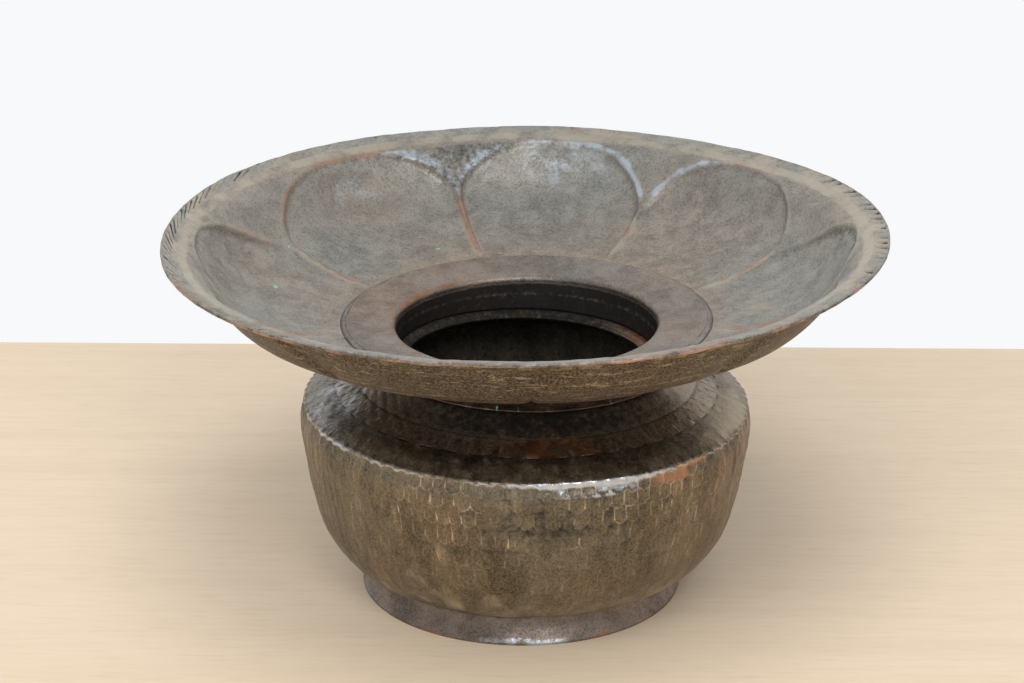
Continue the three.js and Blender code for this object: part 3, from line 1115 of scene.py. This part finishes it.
def dish_dust(face, wide, ridge):
    """Where dust lies: along the outlines, on the band and near the mouth."""
    toward, past, lumps = face.toward, face.past, face.lumps
    back = toward(8, 36)
    along_line = 0.6 + 0.4 * ridge * (1 - 0.5 * toward(120, 40))
    dust = 0.75 * wide * along_line * (1 - 0.5 * back * (1 - ridge))
    dust += 0.2 * (1 - face.sunk) * past(120, 128) * (1 - back)
    patchy = 0.36 * lumps(6, 118) + 0.2 * lumps(22, 119)
    band = 0.46 + 0.2 * back + 0.15 * toward(88, 40) + patchy
    dust += past(138.4, 139.8) * band
    return dust + 0.4 * past(120, 96) * (0.6 + lumps(16, 117))


def dish_values(face):
    """The upper face's wear, dirt, painted shade and brightness."""
    toward, past, radius, inside = face.toward, face.past, face.radius, face.inside
    ridge = past(face.split + 3, face.split - 3)
    spandrel = (1 - face.sunk) * past(121, 125) * past(139, 137)
    wide = bump_at(inside, 0, 1.4 + 0.6 * ridge)
    wide = wide * past(FLANGE_RADIUS + 1, 88) * past(139.5, 138)
    outline_worn = np.clip(0.9 * toward(314, 42) + 0.6 * toward(60, 40), 0.2, 1)
    worn = 0.72 + 0.3 * face.lumps(12, 111) + 0.3 * face.lumps(4, 110)
    wear = wide * worn * (ridge + (1 - ridge) * outline_worn)
    wear = wear + 0.6 * bump_at(radius, 138.5, 0.8) * (toward(340, 40) + 0.6 * toward(40, 30))
    # Painted shade inside each petal's outline, where it steps down, and a painted shadow at the foot of the
    # mouth ring's step.
    petal_step_shade = bump_at(inside, 2.4, 1.8) * past(112, 120) * past(141, 138)
    grime = 0.36 * petal_step_shade + 0.2 * bump_at(radius, 76.4, 0.9)
    grime += 0.3 * face.sunk * past(128, 133) * toward(84, 16)
    tone = 0.25 * face.patches(34, 115, -0.2, 0.7) + 0.3 * past(92, 78)
    tone += 0.2 * past(136, 139) * (1 - 0.6 * toward(20, 40))
    tone += 0.2 * toward(300, 50) * past(110, 125)
    return {
        "wear": wear,
        "tin": dish_tin_and_highlights(face, wide, ridge, spandrel),
        "dust": dish_dust(face, wide, ridge),
        "grime": grime + 0.62 * spandrel * toward(350, 34),
        "tone": tone + 0.2 * toward(8, 36) * past(116, 104),
        "verdigris": verdigris_spots(face),
    }


def dish_topside():
    """The upper face from the mouth to the border, and its values."""
    whole = curve(DISH_TOPSIDE, 600)
    within = whole[whole[:, 0] <= BORDER_INNER]
    picks = np.linspace(0, len(within) - 1, 76).round().astype(int)
    face = PetalFace(within[picks], 80)
    past, lumps = face.past, face.lumps
    beaten = past(76, 82) * past(143, 140)
    push = face.relief() + beaten * (0.13 * lumps(10, 101) + 0.3 * lumps(30, 102))
    push = push - 0.25 * past(138.4, 139.4) * past(143, 142.2)
    return face.lifted(-push), dish_values(face)


def dish_underside():
    """The lower face from the lip to the collar, where the petals bulge, and its values."""
    face = PetalFace(curve(DISH_UNDERSIDE, 54), 40)
    past, lumps = face.past, face.lumps
    rough = (0.12 * lumps(8, 121) + 0.3 * lumps(30, 102)) * past(62, 80)
    spots = copper_spots(face.turn) * past(74, 71)
    values = {
        "under": 1 - np.clip(spots, 0, 1),
        "wear": spots,
        "grime": 0.8 * past(74, 63) - spots,
        "tone": 0.3 + 0.35 * lumps(22, 122),
    }
    return face.lifted(0.75 * face.relief() + rough), values


def border_cuts(face, per_cut):
    """Depth of the border's cuts: wedges on the right, slanting strokes on the left."""
    angles = face.angles
    columns = np.arange(len(angles))
    from_middle = np.abs((columns % per_cut) / per_cut - 0.5)
    cut, half_cut = columns // per_cut, columns // (per_cut // 2)
    uneven = lattice_value(cut, seed=135)
    uneven_half = lattice_value(half_cut, seed=136)
    part = face.past(BORDER_START, BORDER_END)
    wedge = smooth(0.03 + 0.2 * part - from_middle, -0.08, 0.08)
    wedge = wedge * (1.1 * sector(angles, *WEDGED_SIDE) * (1 + 0.5 * uneven) + 0.16 * (1 + uneven))
    stroke = 1.2 * smooth(0.16 - from_middle, -0.1, 0.1) * sector(angles, *STROKED_SIDE)
    stroke = stroke * np.clip(0.8 + 0.5 * uneven_half, 0, 1)
    reach = face.past(143.8, 145.2) * face.past(BORDER_END, 148.4)
    return (wedge + stroke) * (0.85 + 0.3 * noise(circle(RIM_RADIUS, angles), 8, 131)) * reach


def dish_border():
    """The chased border, over the lip to the underside, and its values."""
    per_cut = 8
    top = curve([(BORDER_START, 154.7), (146.5, 155.5), (149.0, 156.05)], 13)
    lip = arc((149.0, 155.15), 0.9, 80, -80, 6)
    section = np.concatenate([top, lip])
    face = Face(section, even_angles(BORDER_CUTS * per_cut))
    angles, past = face.angles, face.past
    left = sector(angles, *STROKED_SIDE)
    right = sector(angles, 90, 40)
    part = past(BORDER_START, BORDER_END)
    slant = (1.5 * left + 0.3 * right) * (360.0 / BORDER_CUTS)
    flat = face.first(len(top) - 1)
    depth = border_cuts(face, per_cut) * flat
    side = normals(section)
    push = -0.55 * depth + 0.12 * face.lumps(5, 132)
    turn = angles + slant * (2 * part - 1)
    grid = place(section[:, :1] - side[:, :1] * push, turn, section[:, 1:] - side[:, 1:] * push)
    grid[..., 2] += lip_wobble(angles) * past(WOBBLE_INNER, RIM_RADIUS)

    below = face.above(155.75, 155.2) * (1 - flat)
    edge = past(148.2, 149.0) * face.above(154.9, 155.6)
    front = sector(angles, 180, 60)
    patchy = face.lumps(9, 133)
    pale = 0.42 + 0.2 * right + 0.12 * sector(angles, 265, 30)
    pale = pale * (1 - 0.75 * part * sector(angles, 5, 50)) + 0.3 * patchy
    brown = front * flat * part
    specks = 0.05 + 0.25 * front + 0.3 * face.lumps(4, 137)
    values = {
        "wear": brown * (0.5 + 0.5 * patchy) + below * (0.5 + 0.4 * patchy + 0.1 * front)
        + edge * smooth(patchy, -0.3, 0.6) * 0.5,
        "tin": edge * (0.1 + 0.42 * front) * face.patches(3, 134, -0.5, 0.5),
        "grime": depth * (0.62 + 0.2 * left) + flat * part * specks
        + (edge + below) * 0.45 * face.patches(3, 138, -0.3, 0.5),
        "tone": 0.15 + 0.25 * patchy + 0.5 * brown,
        "dust": (1 - brown) * flat * pale + edge * 0.14,
        "under": below * 0.9,
    }
    return grid, values


def petal_dish(material):
    """One raised sheet: petals on both faces, a smooth band, a chased border and a thin lip."""
    dish = Shell()
    for grid, values in (dish_underside(), dish_border(), dish_topside()):
        dish.add(grid[::-1], **{name: value[::-1] for name, value in values.items()})
    dish.close()
    return dish.build("petal_dish_sheet", material, "petal_dish", "dish_copper")


# ---------------------------------------------------------------- build


# Each metal: its dark, middle and pale colour, and what differs from the usual look.
METALS = {
    "bowl_metal": (
        (0.085, 0.075, 0.058), (0.205, 0.178, 0.135), (0.5, 0.42, 0.3),
        dict(rough=0.4, streak_mix=0.7, copper=(0.62, 0.34, 0.19), dust=(0.44, 0.36, 0.25), matte=0.25),
    ),
    "dish_metal": (
        (0.285, 0.28, 0.255), (0.43, 0.423, 0.385), (0.62, 0.595, 0.53),
        dict(rough=0.5, streaks="out", streak_mix=0.45, copper=(0.68, 0.44, 0.33),
             tin=(0.62, 0.675, 0.725), dust=(0.6, 0.545, 0.44), mottle_scale=110),
    ),
    "shoulder_metal": (
        (0.095, 0.08, 0.061), (0.22, 0.19, 0.146), (0.49, 0.425, 0.31),
        dict(rough=0.41, streaks="out", streak_mix=0.55, dust=(0.5, 0.4, 0.32), matte=0.5),
    ),
    "foot_metal": (
        (0.12, 0.104, 0.096), (0.25, 0.222, 0.198), (0.42, 0.38, 0.33),
        dict(streaks="around", streak_mix=0.3),
    ),
    "neck_metal": (
        (0.05, 0.038, 0.032), (0.1, 0.08, 0.07), (0.2, 0.17, 0.15),
        dict(rough=0.42, streaks="around", streak_mix=0.3),
    ),
    "mouth_metal": (
        (0.21, 0.19, 0.168), (0.35, 0.325, 0.295), (0.5, 0.46, 0.415),
        dict(rough=0.48, streaks="around", streak_mix=0.35),
    ),
    "filler_brass": ((0.12, 0.075, 0.035), (0.26, 0.16, 0.07), (0.4, 0.27, 0.13), dict(streaks="around")),
    "solder_tin": ((0.19, 0.17, 0.15), (0.33, 0.3, 0.265), (0.5, 0.48, 0.45), dict(streaks="around")),
}


def build_pieces():
    metals = {}
    for name, (dark, mid, pale, looks) in METALS.items():
        metals[name] = aged_metal(name, dark, mid, pale, **looks)
    brass, solder = metals["filler_brass"], metals["solder_tin"]
    lower_bowl(metals["bowl_metal"])
    shoulder(metals["shoulder_metal"])
    seam_braze(brass)
    foot_ring(metals["foot_metal"])
    neck_collar(metals["neck_metal"])
    mouth_ring(metals["mouth_metal"])
    petal_dish(metals["dish_metal"])
    under_bowl = [(58.4, 10.9), (60.9, 9.5), (61.2, 12.6)]
    on_ledge = [(56.4, 102.5), (58.7, 102.5), (56.4, 105)]
    under_dish = [(59.7, 112.4), (61.9, 114.5), (59.7, 114.6)]
    at_step = [(74.2, 117.5), (78.4, 118.1), (75.5, FLANGE_TOP + 0.15)]
    for joint, corners, columns, seed, looks in (
        ("foot", under_bowl, 240, 141, dict(wear=0.2)),
        ("neck_base", on_ledge, 240, 142, dict(wear=0.2, grime=0.5)),
        ("neck_top", under_dish, 300, 143, dict(grime=0.55, wear=copper_spots)),
    ):
        bead(f"{joint}_filler", brass, f"{joint}_braze", "brass_filler", corners, columns, seed, **looks)
    looks = dict(rough=0.12, dust=0.15, tin=0.1)
    bead("flange_solder_run", solder, "flange_solder", "tin_solder", at_step, 420, 144, **looks)


def build_stage():
    """A pale table that ends behind the basin."""
    half_width, front, behind = 1.6, -1.6, 0.277
    corners = [(x, y, 0) for x, y in (
        (-half_width, front), (half_width, front), (half_width, behind), (-half_width, behind)
    )]
    mesh = bpy.data.meshes.new("table")
    mesh.from_pydata(corners, [], [(0, 1, 2, 3)])
    table = bpy.data.objects.new("table", mesh)
    bpy.context.scene.collection.objects.link(table)
    material, g, shader = new_material("table_surface")
    long_grain = g.noise(g.stretch(0.04, 1, 1), 60, 6, 0.7)
    fine = g.noise(g.stretch(0.12, 1, 1), 420, 4, 0.65)
    colour = g.mix(g.ease(long_grain, 0.3, 0.75, 0, 0.5), (0.595, 0.488, 0.365), (0.52, 0.412, 0.3))
    colour = g.mix(g.ease(fine, 0.45, 0.75, 0, 0.4), colour, (0.47, 0.37, 0.26))
    g.feed_named(shader, Base_Color=colour, Roughness=0.7)
    mesh.materials.append(material)


SKY_COLOUR = (0.975, 0.985, 1.0)
SKY_FRONT = 0.6
SKY_BEHIND = 0.96

# Each lamp: where it hangs, the height it is aimed at, its size, power and colour, and whether
# the metal mirrors it.
LAMPS = {
    "front": ((0.55, -2.1, 1.7), 0.08, 0.8, 15, (1.0, 1.0, 1.0), True),
    "key": ((0.1, -0.7, 2.3), 0.05, 1.2, 24, (1.0, 0.99, 0.97), False),
    "fill": ((-0.7, -2.0, 1.5), 0.05, 2.6, 60, (1.0, 0.99, 0.97), False),
}


def build_light():
    """A weak lamp in front that the creases catch, two wide ones that only light the table
    evenly, and a sky that is brighter behind the basin than in front of it."""
    for name, (spot, aim, size, power, colour, mirrored) in LAMPS.items():
        lamp = bpy.data.lights.new(name, "AREA")
        lamp.shape = "DISK"
        lamp.size = size
        lamp.energy = power
        lamp.color = colour
        holder = bpy.data.objects.new(name, lamp)
        holder.location = spot
        holder.rotation_euler = (Vector((0, 0, aim)) - Vector(spot)).to_track_quat("-Z", "Y").to_euler()
        holder.visible_glossy = mirrored
        bpy.context.scene.collection.objects.link(holder)
    world = bpy.data.worlds.new("studio")
    world.use_nodes = True
    g = Graph(world.node_tree)
    back = world.node_tree.nodes["Background"]
    _, behind, _ = g.split(Value(g, g.coords, "Generated"))
    g.feed_named(back, Color=SKY_COLOUR, Strength=g.ease(behind, 0.0, 0.75, SKY_FRONT, SKY_BEHIND))
    bpy.context.scene.world = world


# The camera that fits the outlines of rim, mouth, crease and foot, in mm and degrees.
FILM_WIDTH = 36
FOCAL_LENGTH = 112.5
CAMERA_AIM = (-4.5, 0, 108)
CAMERA_DISTANCE = 1338
CAMERA_DOWN = 20.9
CAMERA_ROLL = 0.38


def build_camera():
    """The view that the outlines were measured in: slightly above, from the front."""
    lens = bpy.data.cameras.new("camera")
    lens.sensor_width = FILM_WIDTH
    lens.lens = FOCAL_LENGTH
    lens.clip_start = 0.05
    camera = bpy.data.objects.new("camera", lens)
    aim = Matrix.Translation(Vector(CAMERA_AIM) * MM)
    away = Matrix.Translation((0, 0, CAMERA_DISTANCE * MM))
    pitch = Matrix.Rotation(math.radians(90 - CAMERA_DOWN), 4, "X")
    roll = Matrix.Rotation(math.radians(CAMERA_ROLL), 4, "Z")
    camera.matrix_world = aim @ pitch @ roll @ away
    bpy.context.scene.collection.objects.link(camera)
    bpy.context.scene.camera = camera


build_pieces()
build_stage()
build_light()
build_camera()
bpy.context.scene.view_settings.view_transform = "Standard"
